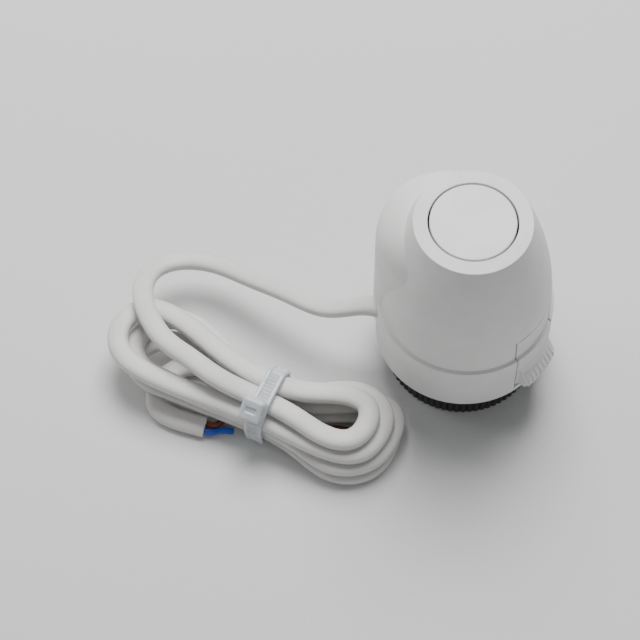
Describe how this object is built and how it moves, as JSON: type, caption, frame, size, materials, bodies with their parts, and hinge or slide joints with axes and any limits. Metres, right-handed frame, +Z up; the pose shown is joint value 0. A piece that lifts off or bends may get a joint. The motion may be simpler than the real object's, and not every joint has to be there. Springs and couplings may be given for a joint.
{
  "type": "thermal valve actuator head",
  "caption": "Bell-shaped white valve actuator head with a knurled coupling ring, a side release latch, a lifting top indicator and a tied-up two-core cable.",
  "frame": {"origin": "on the valve axis, at the bottom face of the coupling ring", "axes": "+Z up along the valve axis towards the indicator, +X towards the release latch, the cable chamber on the -X side"},
  "size_m": [0.0999, 0.0861, 0.0628],
  "materials": {
    "white_housing": "fine matt moulded white plastic",
    "white_latch": "fine matt moulded white plastic",
    "white_cap": "satin moulded white plastic",
    "black_ring": "satin glass-filled black plastic",
    "steel_plate": "stamped stainless steel",
    "black_cover": "satin black plastic",
    "grey_frame": "glass-filled grey plastic",
    "zinc_screw": "bright zinc plate",
    "grey_cage": "glass-filled grey plastic",
    "steel_foot": "turned stainless steel",
    "spring_steel": "oiled spring wire",
    "washer_steel": "stamped zinc-plated steel",
    "brass_capsule": "drawn brass",
    "brass_guide": "turned brass",
    "polished_piston": "polished stainless steel",
    "heater_ceramic": "fired ceramic with silvered faces",
    "brass_contact": "stamped spring brass",
    "tinned_terminal": "tin plate",
    "grey_clamp": "moulded grey plastic",
    "cable_sheath": "soft satin light grey PVC",
    "blue_core": "blue PVC core insulation",
    "brown_core": "brown PVC core insulation",
    "nylon_tie": "translucent natural nylon"
  },
  "bodies": {
    "root": {"housing_shell": "white_housing", "bottom_cover": "black_cover", "base_frame": "grey_frame", "frame_screws": "zinc_screw", "closing_spring": "spring_steel", "spring_washer": "washer_steel", "wax_capsule": "brass_capsule", "capsule_guide": "brass_guide", "ptc_heater": "heater_ceramic", "lower_contact": "brass_contact", "upper_contact": "brass_contact", "crimp_terminals": "tinned_terminal", "cable_clamp": "grey_clamp", "cable_sheath": "cable_sheath", "blue_tail": "blue_core", "brown_tail": "brown_core", "blue_core": "blue_core", "brown_core": "brown_core", "cable_tie": "nylon_tie"},
    "lift": {"lifting_cage": "grey_cage", "pressure_foot": "steel_foot", "wax_piston": "polished_piston", "indicator_cap": "white_cap"},
    "ring": {"coupling_ring": "black_ring"},
    "latch": {"release_latch": "white_latch"},
    "lock": {"locking_ring": "steel_plate"}
  },
  "joints": [
    {"name": "stroke", "type": "slide", "parent": "root", "child": "lift", "axis": [0, 0, 1], "range_m": [0, 0.004], "deforming": ["closing_spring"]},
    {"name": "ring_turn", "type": "hinge", "parent": "root", "child": "ring", "pos_m": [0, 0, 0.005], "axis": [0, 0, 1], "continuous": true},
    {"name": "latch_press", "type": "hinge", "parent": "root", "child": "latch", "pos_m": [0.0203, 0, 0.034], "axis": [0, 1, 0], "range_deg": [0, 4]},
    {"name": "lock_slide", "type": "slide", "parent": "root", "child": "lock", "axis": [-1, 0, 0], "range_m": [0, 0.0015]}
  ],
  "couplings": [
    {"joint": "lock_slide", "follows": "latch_press", "m_per_rad": 0.0214}
  ]
}
